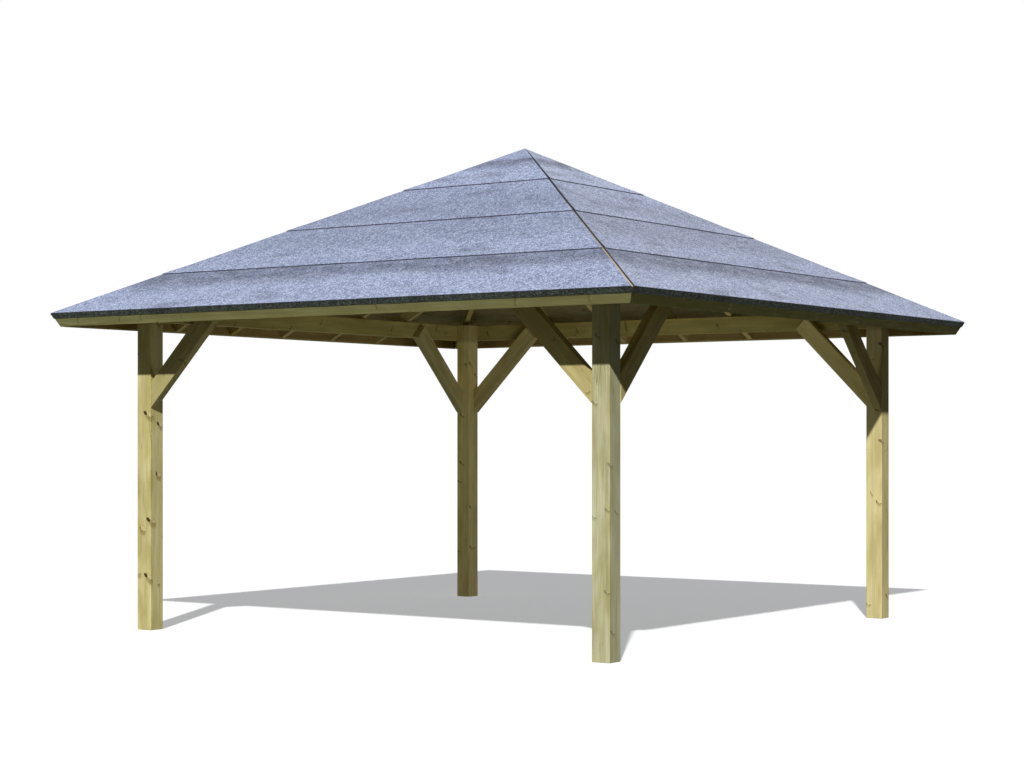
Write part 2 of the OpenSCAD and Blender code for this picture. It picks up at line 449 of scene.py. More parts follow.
@dataclass(frozen=True)
class TimberFinish:
    """The colours of one kind of timber."""

    name: str
    light: Colour
    dark: Colour
    heart: Colour
    late: Colour
    halo: Colour
    core: Colour
    bark: Colour
    check: Colour
    fresh_end: Colour
    aged_end: Colour
    cast: Colour = screen(226, 222, 200)
    heart_share: float = 0.45
    late_share: float = 0.28
    end_late_share: float = 0.25
    halo_share: float = 0.6
    core_share: float = 0.7
    check_share: float = 0.5
    knots: float = 1.0
    rough_heights: Span = (0.2, 1.2)
    roughness: Span = (0.8, 0.62)
    specular: float = 0.06
    relief: float = 0.0016
    relief_strength: float = 0.5

    def material(self, grain: NodeTree) -> Material:
        """Mixes the material.

        Args:
            grain: The shared group of wood figure.

        Returns:
            The material, which reads grain, tint, knotty, the stick's share of knots, and cut_end: 1 on a
            fresh end and 2 on an aged one.
        """
        material, bench, shader = new_material(self.name)
        figure = bench.add("ShaderNodeGroup", node_tree=grain)
        bench.tree.links.new(bench.attribute("grain").outputs["Vector"], figure.inputs["Grain"])
        knots = bench.sums("MULTIPLY", bench.attribute("knotty").outputs["Fac"], self.knots)
        bench.tree.links.new(knots, figure.inputs["Knots"])
        mask = figure.outputs

        def share(name: str, amount: float) -> Socket:
            """One of the figure's masks, weakened."""
            return bench.sums("MULTIPLY", mask[name], amount)

        colour = bench.blend(mask["Streak"], self.dark, self.light)
        colour = bench.blend(mask["Cast"], colour, self.cast, "MULTIPLY")
        colour = bench.blend(share("Heart", self.heart_share), colour, self.heart)
        colour = bench.blend(share("Late", self.late_share), colour, self.late, "MULTIPLY")
        colour = bench.blend(share("Halo", self.halo_share), colour, self.halo)
        colour = bench.blend(share("Core", self.core_share), colour, self.core)
        colour = bench.blend(mask["Bark"], colour, self.bark)
        colour = bench.blend(share("Check", self.check_share), colour, self.check)
        cut = bench.attribute("cut_end").outputs["Fac"]
        end = bench.blend(share("Late", self.end_late_share), self.fresh_end, self.late, "MULTIPLY")
        end = bench.blend(bench.sums("SUBTRACT", cut, 1.0), end, self.aged_end)
        colour = bench.blend(cut, colour, end)
        colour = bench.blend(1.0, colour, bench.attribute("tint").outputs["Color"], "MULTIPLY")
        bench.tree.links.new(colour, shader.inputs["Base Color"])
        rough = bench.step(mask["Height"], *self.rough_heights, *self.roughness)
        bench.tree.links.new(rough, shader.inputs["Roughness"])
        normal = bench.bump(mask["Height"], self.relief_strength, self.relief)
        bench.tree.links.new(normal, shader.inputs["Normal"])
        shader.inputs["Specular IOR Level"].default_value = self.specular
        return material


@dataclass(frozen=True)
class FeltFinish:
    """Mineral felt: slate granules on bitumen, with dirt held back at the laps and a dark line under each lap
    edge that is part tar bleed, part painted shadow.
    """

    name: str
    pale: Colour
    deep: Colour
    grit_dark: Colour
    grit_light: Colour
    dirt: Colour
    bleed: Colour
    dark_grit: Span = (0.45, 0.0)
    dark_share: float = 0.5
    light_grit: Span = (0.75, 1.0)
    light_share: float = 0.4
    speckle_share: float = 1.0
    band_range: Span = (0.1, 1.0)
    tone_cycles: Triple = (1.3, 3.2, 1.0)
    reach_cycles: Triple = (1.7, 0.6, 1.0)
    reach_shares: Span = (0.75, 1.35)
    patch_cycles: Triple = (5.0, 11.0, 1.0)
    patch_range: Span = (0.36, 0.62)
    patch_shares: Span = (0.65, 1.0)
    cloud_cycles: Triple = (1.9, 4.6, 1.0)
    cloud_range: Span = (0.54, 0.68)
    cloud_share: float = 0.5
    bleed_width: float = 0.006
    bleed_share: float = 0.74
    roughness: float = 0.9
    specular: float = 0.1
    relief: float = 0.0012
    relief_strength: float = 0.45

    def material(self, granules: NodeTree) -> Material:
        """Mixes the material.

        Args:
            granules: The shared group of slate granules.

        Returns:
            The material, which reads sheet, the distances along the eaves, up the slope and down from the
            lap, tint, tide, the course's dirt line and how far its dirt falls and rises, soil, how much dirt
            the course holds, and smear, how much dirt a streak left.
        """
        material, bench, shader = new_material(self.name)
        sheet = bench.attribute("sheet").outputs["Vector"]
        below_lap = bench.parts(sheet)[2]
        flat = bench.scaled(sheet, (1.0, 1.0, 0.0))
        grain = bench.add("ShaderNodeGroup", node_tree=granules)
        bench.tree.links.new(flat, grain.inputs["Place"])
        mask = grain.outputs
        tones = bench.step(bench.cloud(flat, self.tone_cycles, 4.0), *NOISE_RANGE)
        colour = bench.blend(tones, self.deep, self.pale)
        for name, limits, amount, grit in (
                ("Grit", self.dark_grit, self.dark_share, self.grit_dark),
                ("Grit", self.light_grit, self.light_share, self.grit_light),
                ("Speckle", (0.5, 0.0), self.speckle_share, self.grit_dark),
                ("Speckle", (0.5, 1.0), self.speckle_share, self.grit_light)):
            colour = bench.blend(bench.step(mask[name], *limits, 0.0, amount), colour, grit)
        colour = bench.blend(1.0, colour, bench.attribute("tint").outputs["Color"], "MULTIPLY")

        reach = bench.step(bench.cloud(flat, self.reach_cycles), *NOISE_RANGE, *self.reach_shares)
        line, falls, rises = bench.parts(bench.attribute("tide").outputs["Vector"])
        drop = bench.sums("SUBTRACT", below_lap, line)
        raised = bench.sums("DIVIDE", bench.sums("MULTIPLY", drop, -1.0), rises)
        band = bench.sums("MAXIMUM", bench.sums("DIVIDE", drop, falls), raised)
        band = bench.step(bench.sums("DIVIDE", band, reach), *self.band_range, 1.0, 0.0)
        patch = bench.step(bench.cloud(flat, self.patch_cycles, 5.0), *self.patch_range, *self.patch_shares)
        held = bench.sums("MULTIPLY", band, patch)
        held = bench.sums("MULTIPLY", held, bench.attribute("soil").outputs["Fac"])
        smear = bench.sums("MULTIPLY", bench.attribute("smear").outputs["Fac"], patch)
        held = bench.sums("MAXIMUM", held, smear)
        clouds = bench.cloud(flat, self.cloud_cycles, 4.0)
        clouds = bench.step(clouds, *self.cloud_range, 0.0, self.cloud_share)
        colour = bench.blend(bench.sums("MAXIMUM", held, clouds), colour, self.dirt, "MULTIPLY")
        # Painted shadow and tar bleed: a dark line on the lower course just under each lap's edge.
        bleed = bench.step(below_lap, self.bleed_width, 2 * self.bleed_width, self.bleed_share, 0.0)
        colour = bench.blend(bleed, colour, self.bleed)
        bench.tree.links.new(colour, shader.inputs["Base Color"])
        normal = bench.bump(mask["Height"], self.relief_strength, self.relief)
        bench.tree.links.new(normal, shader.inputs["Normal"])
        shader.inputs["Roughness"].default_value = self.roughness
        shader.inputs["Specular IOR Level"].default_value = self.specular
        return material


@dataclass(frozen=True)
class BitumenFinish:
    """The dark core that shows at a felt's cut edges and underside."""

    name: str = "bitumen"
    dull: Colour = screen(50, 52, 58)
    worn: Colour = screen(80, 84, 94)
    cycles: float = 90.0
    worn_range: Span = (0.4, 0.7)
    roughness: Span = (0.55, 0.8)
    specular: float = 0.2
    relief: float = 0.0008
    relief_strength: float = 0.4

    def material(self) -> Material:
        """Mixes the material from noise on object coordinates.

        Returns:
            The material.
        """
        material, bench, shader = new_material(self.name)
        place = bench.add("ShaderNodeTexCoord").outputs["Object"]
        wear = bench.step(bench.noise(place, 4.0, 0.6, self.cycles).outputs["Fac"], *self.worn_range)
        bench.tree.links.new(bench.blend(wear, self.dull, self.worn), shader.inputs["Base Color"])
        bench.tree.links.new(bench.step(wear, 0.0, 1.0, *self.roughness), shader.inputs["Roughness"])
        bench.tree.links.new(bench.bump(wear, self.relief_strength, self.relief), shader.inputs["Normal"])
        shader.inputs["Specular IOR Level"].default_value = self.specular
        return material


@dataclass(frozen=True)
class ScrewFinish:
    """Zinc-plated screw heads that have dulled outdoors."""

    name: str = "dull_zinc"
    bright: Colour = screen(158, 157, 150)
    dulled: Colour = screen(112, 110, 100)
    cycles: float = 260.0
    dull_range: Span = (0.35, 0.65)
    roughness: Span = (0.4, 0.65)
    metallic: float = 0.9

    def material(self) -> Material:
        """Mixes the material from noise on object coordinates.

        Returns:
            The material.
        """
        material, bench, shader = new_material(self.name)
        place = bench.add("ShaderNodeTexCoord").outputs["Object"]
        bloom = bench.step(bench.noise(place, 3.0, 0.6, self.cycles).outputs["Fac"], *self.dull_range)
        bench.tree.links.new(bench.blend(bloom, self.bright, self.dulled), shader.inputs["Base Color"])
        bench.tree.links.new(bench.step(bloom, 0.0, 1.0, *self.roughness), shader.inputs["Roughness"])
        shader.inputs["Metallic"].default_value = self.metallic
        return material


PRESSURE_TREATED_PINE = TimberFinish(
    name="pressure_treated_pine",
    light=screen(238, 225, 168),
    dark=screen(210, 196, 136),
    heart=screen(200, 194, 150),
    late=screen(222, 208, 166),
    halo=screen(140, 116, 66),
    core=screen(230, 216, 164),
    bark=screen(78, 60, 34),
    check=screen(110, 98, 62),
    fresh_end=screen(244, 234, 182),
    aged_end=screen(120, 108, 76),
)
RAW_SPRUCE_BOARDS = TimberFinish(
    name="raw_spruce_boards",
    light=screen(246, 236, 198),
    dark=screen(232, 222, 180),
    heart=screen(224, 212, 168),
    late=screen(214, 200, 166),
    halo=screen(158, 128, 82),
    core=screen(200, 172, 120),
    bark=screen(70, 48, 28),
    check=screen(70, 56, 36),
    fresh_end=screen(252, 232, 190),
    aged_end=screen(58, 50, 44),
    knots=0.6,
)
SLATE_FELT = FeltFinish(
    name="slate_felt",
    pale=screen(164, 174, 202),
    deep=screen(152, 162, 190),
    grit_dark=screen(108, 117, 142),
    grit_light=screen(208, 216, 236),
    dirt=screen(174, 172, 170),
    bleed=screen(54, 57, 66),
)
DARK_FELT = FeltFinish(
    name="dark_felt",
    pale=screen(78, 84, 78),
    deep=screen(64, 69, 64),
    grit_dark=screen(34, 37, 34),
    grit_light=screen(122, 129, 122),
    dirt=screen(174, 172, 170),
    bleed=screen(34, 34, 36),
    speckle_share=0.75,
)


@dataclass
class Finishes:
    """Every material of the object, mixed once."""

    pine: Material = field(init=False)
    boards: Material = field(init=False)
    felt: Material = field(init=False)
    skirt: Material = field(init=False)
    bitumen: Material = field(init=False)
    screws: Material = field(init=False)

    def __post_init__(self) -> None:
        """Builds the shared groups and mixes the materials on them."""
        grain = TimberGrain().tree()
        granules = Granules().tree()
        self.pine = PRESSURE_TREATED_PINE.material(grain)
        self.boards = RAW_SPRUCE_BOARDS.material(grain)
        self.felt = SLATE_FELT.material(granules)
        self.skirt = DARK_FELT.material(granules)
        self.bitumen = BitumenFinish().material()
        self.screws = ScrewFinish().material()


@dataclass(frozen=True)
class Timber:
    """What one kind of stick is like: its colour and how that varies, its knots, its pith and its arrises."""

    tint: Tint = (1.0, 1.0, 1.0)
    spread: float = 0.0
    knots: float = 0.8
    heart: float = 0.05
    arris: float = 0.003
    warmth: float = 0.4

    def tone(self, draw: random.Random) -> Tint:
        """Draws one stick's tint.

        Args:
            draw: The source of the draw.

        Returns:
            The tint, made lighter or darker and warmer or greener where sticks of the kind vary.
        """
        if not self.spread:
            return self.tint
        level = 1 + draw.uniform(-self.spread, self.spread)
        warm = draw.uniform(-self.spread, self.spread) * self.warmth
        red, green, blue = self.tint
        return (red * level * (1 + warm), green * level, blue * level * (1 - warm))


@dataclass(frozen=True)
class Stick:
    """The axes of one length of timber, for the figure of its grain."""

    middle: Vector
    along: Vector
    across: Vector

    def mark(self, bm: BMesh, verts: Verts, draw: random.Random, timber: Timber) -> None:
        """Writes the grain, tint, knotty and cut_end attributes of one stick.

        Args:
            bm: The mesh that holds the stick.
            verts: The stick's own vertices.
            draw: The source of its tint and its place in the tree.
            timber: What its kind is like.
        """
        tint = timber.tone(draw)
        grain = bm.verts.layers.float_vector["grain"]
        shade = bm.verts.layers.float_color["tint"]
        knotty = bm.verts.layers.float["knotty"]
        ends = bm.faces.layers.float["cut_end"]
        third = self.along.cross(self.across)
        bearing, distance = draw.uniform(0, 2 * math.pi), draw.uniform(NEAREST_PITH, 1.0) * timber.heart
        level = draw.uniform(0, TREE_LENGTH)
        start = Vector((math.cos(bearing) * distance, math.sin(bearing) * distance, level))
        for vert in verts:
            arm = vert.co - self.middle
            vert[grain] = Vector((arm.dot(self.across), arm.dot(third), arm.dot(self.along))) + start
            vert[shade] = (*tint, 1.0)
            vert[knotty] = timber.knots
        for face in {face for vert in verts for face in vert.link_faces}:
            face[ends] = 1.0 if abs(face.normal.dot(self.along)) > math.cos(END_ANGLE) else 0.0


def timber_mesh(source: bpy.types.Mesh | None = None) -> BMesh:
    """Starts a mesh with the attributes that a timber finish reads.

    Args:
        source: A mesh to copy, if any.

    Returns:
        The new bmesh.
    """
    bm = bmesh.new()
    if source:
        bm.from_mesh(source)
    bm.verts.layers.float_vector.new("grain")
    bm.verts.layers.float_color.new("tint")
    bm.verts.layers.float.new("knotty")
    bm.faces.layers.float.new("cut_end")
    return bm


def copied(node: Object) -> BMesh:
    """Copies a CAD node's mesh as merged, flat faces.

    Args:
        node: The node's object.

    Returns:
        A new bmesh with no loose triangles.
    """
    bm = timber_mesh(node.data)
    bmesh.ops.remove_doubles(bm, verts=bm.verts, dist=MERGE_DISTANCE)
    bmesh.ops.dissolve_limit(bm, angle_limit=FLAT_ANGLE, verts=bm.verts, edges=bm.edges)
    return bm


def trimmed(bm: BMesh, point: Vector, out: Vector) -> None:
    """Cuts a solid off along a plane and closes the cut.

    Args:
        bm: The solid's mesh.
        point: A place on the plane.
        out: The direction of what is cut off.
    """
    geometry = [*bm.verts, *bm.edges, *bm.faces]
    cut = bmesh.ops.bisect_plane(bm, geom=geometry, dist=MERGE_DISTANCE, clear_outer=True, plane_co=point,
                                 plane_no=out)
    rim = [item for item in cut["geom_cut"] if isinstance(item, bmesh.types.BMEdge)]
    bmesh.ops.edgeloop_fill(bm, edges=rim)


def rounded(bm: BMesh, edges: list[bmesh.types.BMEdge], radius: float, segments: int) -> None:
    """Rounds some edges of a mesh.

    Args:
        bm: The mesh.
        edges: The edges.
        radius: Radius of the rounding.
        segments: Facets across the rounding, of which one makes a chamfer.
    """
    bmesh.ops.bevel(bm, geom=edges, offset=radius, offset_type="OFFSET", segments=segments, profile=0.5,
                    affect="EDGES", clamp_overlap=True, material=-1)


def eased(bm: BMesh, radius: float) -> None:
    """Rounds every arris of a mesh.

    Args:
        bm: The mesh.
        radius: Radius of the rounding.
    """
    sharp = [edge for edge in bm.edges if edge.is_manifold and edge.calc_face_angle() > SHARP_ANGLE]
    rounded(bm, sharp, radius, EASED_FACETS)


def gathered(whole: BMesh, part: BMesh) -> None:
    """Adds one mesh to another.

    Args:
        whole: The mesh that takes the part.
        part: The part, which is freed.
    """
    loose = bpy.data.meshes.new("part")
    part.to_mesh(loose)
    part.free()
    whole.from_mesh(loose)
    bpy.data.meshes.remove(loose)


def solids(bm: BMesh) -> list[Verts]:
    """Lists the vertices of each separate solid in a mesh.

    Args:
        bm: The mesh.

    Returns:
        One list of vertices a solid, in the mesh's order.
    """
    bm.verts.index_update()
    seen: set[int] = set()
    found = []
    for vert in bm.verts:
        if vert.index in seen:
            continue
        seen.add(vert.index)
        group = [vert]
        for member in group:
            for edge in member.link_edges:
                other = edge.other_vert(member)
                if other.index not in seen:
                    seen.add(other.index)
                    group.append(other)
        found.append(group)
    return found


def middle_of(verts: Verts) -> Vector:
    """The middle of the box round some vertices."""
    spans = [[vert.co[axis] for vert in verts] for axis in range(3)]
    return Vector([(min(span) + max(span)) / 2 for span in spans])


def grained(bm: BMesh, seed: str, along: Vector, across: Vector, timber: Timber) -> None:
    """Gives each solid of a mesh the grain of a stick of its own.

    Args:
        bm: The mesh, all of whose solids lie the same way.
        seed: What the draws start from.
        along: The direction of the grain.
        across: A direction square to it.
        timber: What the sticks' kind is like.
    """
    draw = random.Random(seed)
    for verts in solids(bm):
        Stick(middle_of(verts), along, across).mark(bm, verts, draw, timber)


def piece(name: str, bm: BMesh, materials: list[Material], slot: Slot | None,
          stands_for: Iterable[str] = ()) -> Object:
    """Makes a finished mesh a piece of the object.

    Args:
        name: The piece's name.
        bm: Its mesh, which is freed.
        materials: Its materials, in the order of its faces' material numbers.
        slot: Not used.
        stands_for: The CAD nodes that it replaces.

    Returns:
        The piece's object.
    """
    for face in bm.faces:
        face.smooth = True
    for edge in bm.edges:
        areas = sorted(face.calc_area() for face in edge.link_faces)
        beside_flat = len(areas) == 2 and areas[1] > FLAT_TO_STRIP * areas[0]
        edge.smooth = edge.is_manifold and edge.calc_face_angle() < SHARP_ANGLE and not beside_flat
    mesh = bpy.data.meshes.new(name)
    bm.to_mesh(mesh)
    bm.free()
    stored = mesh.attributes.get("custom_normal")
    if stored:
        mesh.attributes.remove(stored)
    for material in materials:
        mesh.materials.append(material)
    made = bpy.data.objects.new(name, mesh)
    bpy.context.scene.collection.objects.link(made)
    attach(made, BODY)
    nodes = list(stands_for)
    if nodes:
        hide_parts(*nodes)
    LOG.info("%s: %d faces, for %s", name, len(mesh.polygons), ", ".join(nodes) or "no node")
    return made


@dataclass(frozen=True)
class Slope:
    """One plane of the roof, read from the boarding's box.

    Its coordinates run along the eaves, up the slope from the boarding's lower edge, and square to the slope
    from the boarding's underside.
    """

    pitch: float
    half: float
    edge_height: float
    boarding: float

    @classmethod
    def from_frame(cls) -> "Slope":
        """Works the slope out from the front boarding's box.

        Returns:
            The slope that all four sides share.
        """
        low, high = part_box("deck_front")
        half, height = high.x, high.z - low.z
        spread = -low.y - half
        rise = (height + math.sqrt(height ** 2 - 4 * half * spread)) / (2 * half)
        pitch = math.atan(rise)
        return cls(pitch, half, low.z, spread / math.sin(pitch))

    @property
    def length(self) -> float:
        """The boarding's length up the slope, to the apex."""
        return self.half / math.cos(self.pitch)

    def half_at(self, up: float) -> float:
        """Half the slope's width at a distance up it."""
        return (self.length - up) * math.cos(self.pitch)

    def to_frame(self, side: Side) -> Matrix:
        """The matrix from one side's slope coordinates to the frame."""
        edge = Matrix.Translation((0, -self.half, self.edge_height))
        return side.turn @ edge @ Matrix.Rotation(self.pitch, 4, "X")

    def reach(self, up: float, out: float) -> float:
        """Half the distance between the planes of the neighbouring sides' edges, at a place on the slope."""
        return self.half + (out + up * math.tan(self.pitch)) * math.sin(self.pitch)

    def span(self, node: Object, side: Side) -> tuple[Vector, Vector]:
        """Finds a node's box in slope coordinates.

        Args:
            node: The node's object.
            side: The side that it lies on.

        Returns:
            The lowest and highest corners.
        """
        back = self.to_frame(side).inverted()
        points = [back @ vert.co for vert in node.data.vertices]
        columns = list(zip(*points))
        return Vector([min(column) for column in columns]), Vector([max(column) for column in columns])


@dataclass
class Carpentry:
    """What the timber sub-assemblies share."""

    nodes: dict[str, Object]
    finishes: Finishes

    def dress(self, node: str, bm: BMesh, seed: str, along: Vector, across: Vector, timber: Timber) -> None:
        """Makes a node's sawn timbers one piece.

        Args:
            node: The node's name.
            bm: A copy of its mesh, which is freed.
            seed: What the sticks' draws start from.
            along: The direction of their grain.
            across: A direction square to it.
            timber: What their kind is like.
        """
        eased(bm, timber.arris)
        grained(bm, seed, along, across, timber)
        piece(f"sawn_{node}", bm, [self.finishes.pine], Slot.PINE, [node])


@dataclass
class PostFrame(Carpentry):
    """Posts, beams and knee braces."""

    post_arris: float = 0.005
    post_facets: int = 4
    foot_arris: float = 0.002
    boxed_heart: float = 0.022
    # Painted shade: the post's head above the beams' underside is tinted down to the beams' tone, fading in
    # below.
    head_tint: Tint = (0.68, 0.66, 0.58)
    head_fade: float = 0.03
    post_timbers: dict[Corner, Timber] = field(default_factory=lambda: {
        Corner.FRONT_LEFT: Timber((0.96, 0.97, 0.91), knots=1.0),
        Corner.FRONT_RIGHT: Timber((0.81, 0.89, 1.1), knots=0.45),
        Corner.BACK_RIGHT: Timber((1.1, 1.08, 1.04), knots=0.6),
        # The back left post's light tint is partly its own paler wood and partly painted light, as it stands
        # wholly in shade.
        Corner.BACK_LEFT: Timber((1.12, 1.09, 0.94), knots=0.55),
    })
    # The beams' dark tint is painted shade for timber that sits high under the roof.
    beam_timber: Timber = Timber((0.62, 0.585, 0.385), spread=0.05, knots=0.45)
    brace_timber: Timber = Timber((0.87, 0.85, 0.73), spread=0.06, knots=0.4)
    brace_joint: float = 0.004
    # Painted light and shade: these braces' tints are raised or lowered to stand in for how much light
    # reaches them.
    brace_lifts: dict[str, float] = field(default_factory=lambda: {
        "brace_back_right": 1.3,
        "brace_back_left": 0.88,
        "brace_left_back": 0.87,
        "brace_front_left": 0.86,
    })

    def build(self) -> None:
        """Builds and dresses all of them."""
        for corner in Corner:
            self.post(corner)
        for side in Side:
            self.beam(side)
            for step in (1, -1):
                self.brace(side, side.beside(step), step)

    def post(self, corner: Corner) -> None:
        """Builds one post, a squared stick with eased arrises and a head painted as dark as the beams, as
        painted shade under the roof.

        Args:
            corner: Where it stands.
        """
        node = f"post_{corner.word}"
        low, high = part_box(node)
        bm = timber_mesh()
        size = Matrix.Diagonal((*(high - low), 1.0))
        bmesh.ops.create_cube(bm, size=1.0, matrix=Matrix.Translation((low + high) / 2) @ size)
        rise = {edge: abs(edge.verts[0].co.z - edge.verts[1].co.z) for edge in bm.edges}
        upright = [edge for edge in bm.edges if rise[edge] > self.post_arris]
        rounded(bm, upright, self.post_arris, self.post_facets)
        eased(bm, self.foot_arris)
        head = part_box("beam_front")[0].z
        for up in (head - self.head_fade, head):
            bmesh.ops.bisect_plane(bm, geom=[*bm.verts, *bm.edges, *bm.faces], dist=MERGE_DISTANCE,
                                   plane_co=(0, 0, up), plane_no=(0, 0, 1))
        timber = replace(self.post_timbers[corner], heart=self.boxed_heart)
        grained(bm, f"post {corner.word}", Vector((0, 0, 1)), Vector((1, 0, 0)), timber)
        # Painted shade: vertices at and above the beams' underside take the darker head tint, which fades out
        # over the loop below.
        shade = bm.verts.layers.float_color["tint"]
        for vert in bm.verts:
            if vert.co.z > head - MERGE_DISTANCE:
                vert[shade] = (*[part * dim for part, dim in zip(timber.tint, self.head_tint)], 1.0)
        piece(f"squared_{node}", bm, [self.finishes.pine], Slot.PINE, [node])

    def beam(self, side: Side) -> None:
        """Dresses one beam.

        Args:
            side: The side that it runs along.
        """
        node = f"beam_{side.word}"
        along = side.turn @ Vector((1, 0, 0))
        seed = f"beam {side.word}"
        self.dress(node, copied(self.nodes[node]), seed, along, Vector((0, 0, 1)), self.beam_timber)

    def brace(self, side: Side, neighbour: Side, step: int) -> None:
        """Dresses one knee brace, cut back from its post by an open joint.

        Args:
            side: The side that it stands in.
            neighbour: The side whose post carries its foot.
            step: 1 where that post is on the side's right, -1 on its left.
        """
        node = f"brace_{side.word}_{neighbour.word}"
        bm = copied(self.nodes[node])
        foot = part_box("post_front_right")[0].x - self.brace_joint
        trimmed(bm, side.turn @ Vector((step * foot, 0, 0)), side.turn @ Vector((step, 0, 0)))
        along = side.turn @ Vector((-step, 0, 1)).normalized()
        # Scales the brace's tint by its painted light level.
        lift = self.brace_lifts.get(node, 1.0)
        timber = replace(self.brace_timber, tint=tuple(part * lift for part in self.brace_timber.tint))
        seed = f"brace {side.word} {neighbour.word}"
        self.dress(node, bm, seed, along, side.turn @ Vector((0, 1, 0)), timber)


@dataclass
class RoofFrame(Carpentry):
    """Hips, rafters, apex block and fascia boards."""

    slope: Slope
    # The hips', rafters' and apex block's darker, yellower tint is painted shade for timber that stays under
    # the roof.
    hip_timber: Timber = Timber((0.86, 0.8, 0.62), spread=0.05, knots=0.5, arris=0.002)
    rafter_timber: Timber = replace(hip_timber, spread=0.07)
    block_timber: Timber = replace(hip_timber, spread=0.03, knots=0.8)
    fascia_timber: Timber = Timber(spread=0.03, knots=0.4)
    fascia_tints: dict[Side, Tint] = field(default_factory=lambda: {
        Side.FRONT: (0.51, 0.555, 0.48),
        Side.RIGHT: (0.57, 0.6, 0.42),
        Side.BACK: (0.48, 0.52, 0.42),
        Side.LEFT: (0.5, 0.53, 0.45),
    })
    fascia_inner_tint: Tint = (0.7, 0.58, 0.42)
    weathered_end: float = 1.7

    def build(self) -> None:
        """Builds and dresses all of them."""
        for corner in Corner:
            self.hip(corner)
        for side in Side:
            self.rafters(side)
            self.fascia(side)
        self.apex_block()

    def hip(self, corner: Corner) -> None:
        """Dresses one hip rafter.

        Args:
            corner: The corner that it runs down to.
        """
        node = f"hip_{corner.word}"
        along = corner.turn @ Vector((1, -1, -math.tan(self.slope.pitch))).normalized()
        across = corner.turn @ Vector((1, 1, 0)).normalized()
        self.dress(node, copied(self.nodes[node]), f"hip {corner.word}", along, across, self.hip_timber)

    def rafters(self, side: Side) -> None:
        """Dresses one side's rafters, each as a stick of its own.

        Args:
            side: The side that they carry.
        """
        node = f"rafters_{side.word}"
        along = side.turn @ Vector((0, math.cos(self.slope.pitch), math.sin(self.slope.pitch)))
        across = side.turn @ Vector((1, 0, 0))
        self.dress(node, copied(self.nodes[node]), f"rafters {side.word}", along, across, self.rafter_timber)

    def fascia(self, side: Side) -> None:
        """Dresses one fascia board, with weathered ends and a browner inner face.

        Args:
            side: The side whose rafter tails it covers.
        """
        node = f"fascia_{side.word}"
        bm = copied(self.nodes[node])
        timber = replace(self.fascia_timber, tint=self.fascia_tints[side])
        eased(bm, timber.arris)
        lean = self.slope.to_frame(side).to_3x3()
        along = side.turn @ Vector((1, 0, 0))
        grained(bm, f"fascia {side.word}", along, lean @ Vector((0, 0, 1)), timber)
        ends = bm.faces.layers.float["cut_end"]
        for face in bm.faces:
            face[ends] *= self.weathered_end
        middle, inward = middle_of(list(bm.verts)), lean @ Vector((0, 1, 0))
        shade = bm.verts.layers.float_color["tint"]
        low, high = self.slope.span(self.nodes[node], side)
        for vert in bm.verts:
            if (vert.co - middle).dot(inward) > (high.y - low.y) / 2 - timber.arris:
                vert[shade] = (*self.fascia_inner_tint, 1.0)
        piece(f"planed_{node}", bm, [self.finishes.pine], Slot.PINE, [node])

    def apex_block(self) -> None:
        """Dresses the block that the hips and middle rafters meet at."""
        bm = copied(self.nodes["apex_block"])
        eased(bm, self.block_timber.arris)
        grained(bm, "apex block", Vector((0, 0, 1)), Vector((1, 0, 0)), self.block_timber)
        piece("turned_apex_block", bm, [self.finishes.pine], Slot.PINE, ["apex_block"])


@dataclass
class Boarding:
    """Tongued and grooved boards laid along the eaves, mitred at the hips."""

    finishes: Finishes
    slope: Slope
    cover: float = 0.096
    joint: float = 0.0008
    vee: float = 0.004
    least_width: float = 0.02
    timber: Timber = Timber(spread=0.07, knots=0.6, heart=0.07)
    fresh_share: float = 0.12
    aged_share: float = 0.6

    def build(self) -> list[Object]:
        """Builds all four sides and returns their pieces."""
        return [self.side(side) for side in Side]

    def side(self, side: Side) -> Object:
        """Builds one side's boards as one piece.

        Args:
            side: The side that they cover.

        Returns:
            The piece.
        """
        draw = random.Random(f"boarding {side.word}")
        whole = bmesh.new()
        low = 0.0
        while low < self.slope.length - self.least_width:
            self.board(whole, low, min(low + self.cover, self.slope.length), draw)
            low += self.cover
        bmesh.ops.transform(whole, matrix=self.slope.to_frame(side), verts=whole.verts)
        bmesh.ops.recalc_face_normals(whole, faces=whole.faces)
        name = f"boards_{side.word}"
        return piece(name, whole, [self.finishes.boards], Slot.BOARDS, [f"deck_{side.word}"])

    def board(self, whole: BMesh, low: float, high: float, draw: random.Random) -> None:
        """Adds one board, with its lower arrises chamfered and its ends cut along the hips.

        Args:
            whole: The side's mesh, which it is added to.
            low: Distance up the slope of its lower edge.
            high: Distance up the slope of its upper edge.
            draw: The source of its place in the tree and its tint.
        """
        bm = timber_mesh()
        top = high - self.joint
        size = Matrix.Diagonal((2 * self.slope.half, top - low, self.slope.boarding, 1.0))
        place = Matrix.Translation((0, (low + top) / 2, self.slope.boarding / 2))
        bmesh.ops.create_cube(bm, size=1.0, matrix=place @ size)
        lower = [edge for edge in bm.edges if all(vert.co.z < self.vee for vert in edge.verts)]
        rounded(bm, [edge for edge in lower if edge.calc_length() > top - low + self.vee], self.vee, 1)
        for hand in (1, -1):
            out = Vector((hand * self.slope.length, self.slope.half, 0))
            trimmed(bm, Vector((hand * self.slope.half, 0, 0)), out)
        bm.normal_update()
        stick = Stick(place.to_translation(), Vector((1, 0, 0)), Vector((0, 1, 0)))
        stick.mark(bm, list(bm.verts), draw, self.timber)
        ends = bm.faces.layers.float["cut_end"]
        age = (low / self.slope.length - self.fresh_share) / (self.aged_share - self.fresh_share)
        for face in bm.faces:
            face[ends] *= 1 + min(max(age, 0.0), 1.0)
        gathered(whole, bm)


@dataclass(frozen=True)
class DirtLine:
    """Where a course of felt is dirtiest, and how its dirt thins out up and down the slope."""

    soil: float = 0.0
    below_top: float = 0.0
    falls: float = 1.0
    rises: float = 1.0


